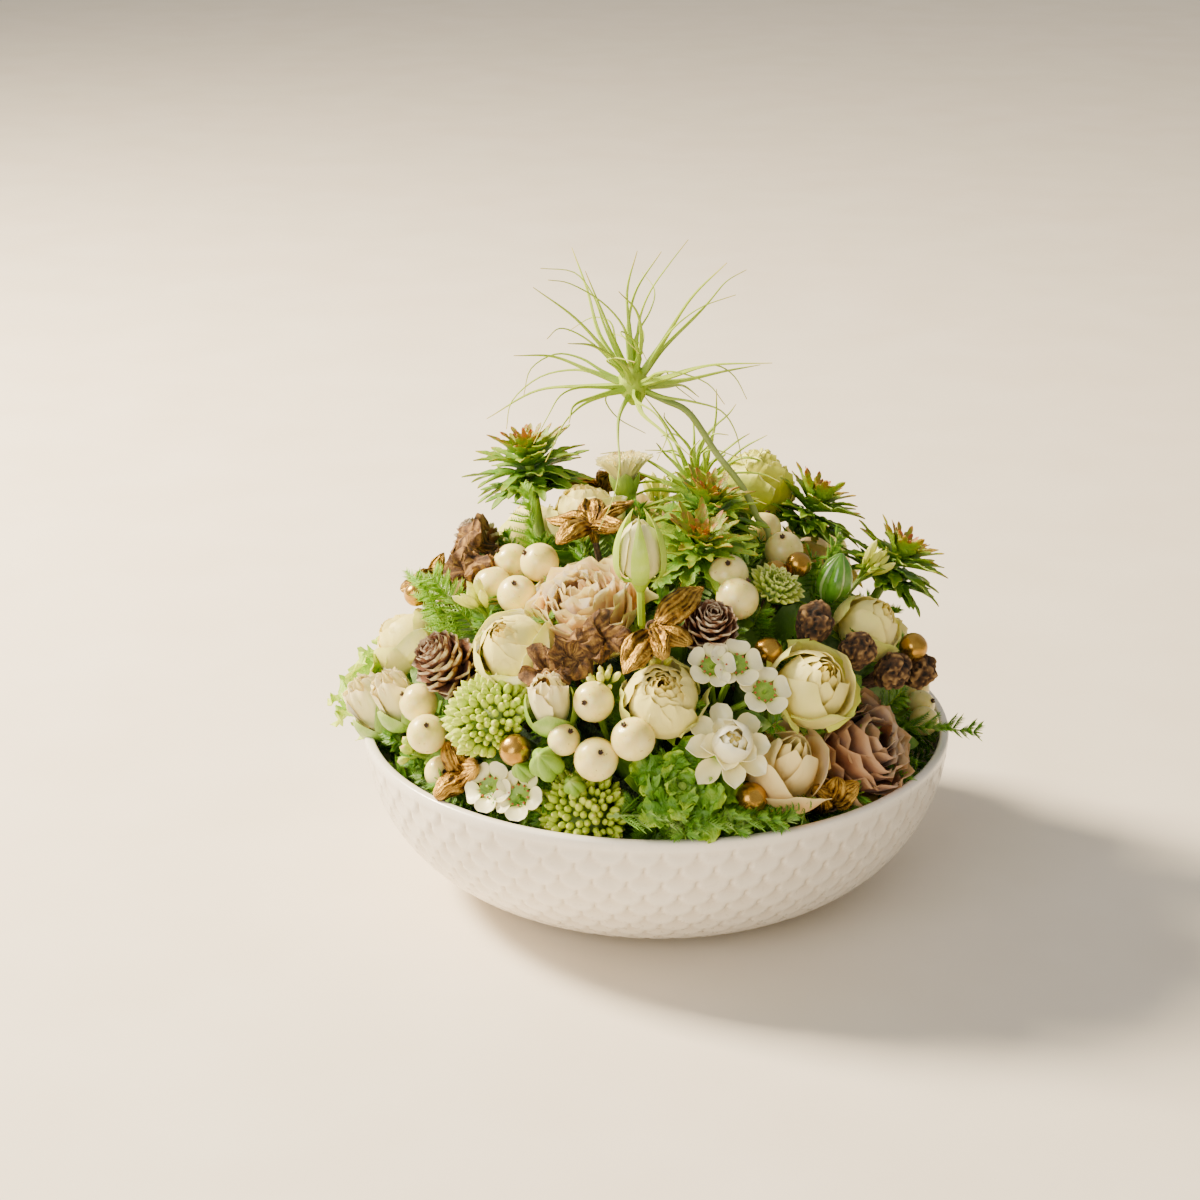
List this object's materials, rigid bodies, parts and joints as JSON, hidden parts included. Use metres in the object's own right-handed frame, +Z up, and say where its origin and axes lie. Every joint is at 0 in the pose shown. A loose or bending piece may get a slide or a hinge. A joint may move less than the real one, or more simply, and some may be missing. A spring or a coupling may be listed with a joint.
{
  "type": "floral table centerpiece",
  "caption": "Low round floral centerpiece: mixed roses, berries, cones, gilded pods and greenery domed over a shallow white porcelain bowl.",
  "frame": {"origin": "middle of the bowl's flat foot, on the table", "axes": "+Z up; -Y is the side that faces the viewer; +X to the viewer's right"},
  "size_m": [0.2353, 0.2259, 0.242],
  "materials": {
    "porcelain": "satin ivory-white glaze",
    "foam": "open-cell dark green floral foam",
    "cream_petals": "soft matt petals, cream with green-tinted outer petals",
    "dusty_petals": "soft matt petals, dusty pink and beige",
    "mauve_petals": "soft matt petals, mauve-brown with olive outer petals",
    "peach_petals": "soft matt petals, peach-beige",
    "white_petals": "waxy white petals",
    "lime_petals": "soft lime-green petals and sepals",
    "berries": "waxy cream-white skins",
    "gilding": "antique gold paint on dried pods",
    "bark": "rough brown scales and pods",
    "husks": "dry tan husks",
    "sedum": "pale lime flower buds with cream tips",
    "bracts": "leafy green bracts with red-brown tips",
    "frilled_leaves": "bright green frilled leaves",
    "fern": "fine green needles",
    "air_plant_leaves": "yellow-green tapering leaves with a grey bloom"
  },
  "bodies": {
    "root": {"air_plant_a": "air_plant_leaves", "bract_head_a": "bracts", "sepal_bud": "lime_petals", "lime_rose": "lime_petals", "dusty_rose_a": "dusty_petals", "dusty_rose_b": "mauve_petals", "cream_rose_a": "cream_petals", "cream_rose_b": "cream_petals", "cream_rose_c": "cream_petals", "cream_rose_d": "cream_petals", "cream_rose_e": "cream_petals", "peach_rose": "peach_petals", "tuberose_bloom": "white_petals", "dusty_rose_c": "dusty_petals", "peach_rose_b": "peach_petals", "cream_spray_right": "cream_petals", "cream_spray_back": "cream_petals", "cream_spray_left": "cream_petals", "sedum_b": "sedum", "sedum_a": "sedum", "sedum_c": "sedum", "bract_head_c": "bracts", "bract_head_d": "bracts", "air_plant_b": "air_plant_leaves", "cone_a": "bark", "cone_b": "bark", "cone_twig_back": "bark", "gold_pods_d": "gilding", "gold_pods_c": "gilding", "gold_pods_e": "gilding", "gold_star_a": "gilding", "gold_star_b": "gilding", "gold_star_c": "gilding", "dried_a": "husks", "dried_b": "husks", "dried_c": "bark", "gold_beads": "gilding", "fern_right": "fern", "mum": "lime_petals", "striped_bud": "bracts", "carnation": "cream_petals", "snowberry_a": "berries", "snowberry_b": "berries", "snowberry_c": "berries", "snowberry_e": "berries", "snowberry_f": "berries", "snowberry_g": "berries", "waxflower_a": "white_petals", "waxflower_b": "white_petals", "waxflower_c": "white_petals", "white_buds_a": "white_petals", "white_buds_b": "white_petals", "bract_head_b": "bracts", "bract_head_e": "bracts", "curled_leaf_a": "frilled_leaves", "curled_leaf_b": "frilled_leaves", "fern_left": "fern", "fern_front": "fern", "floral_foam": "foam", "bowl": "porcelain"}
  },
  "joints": []
}
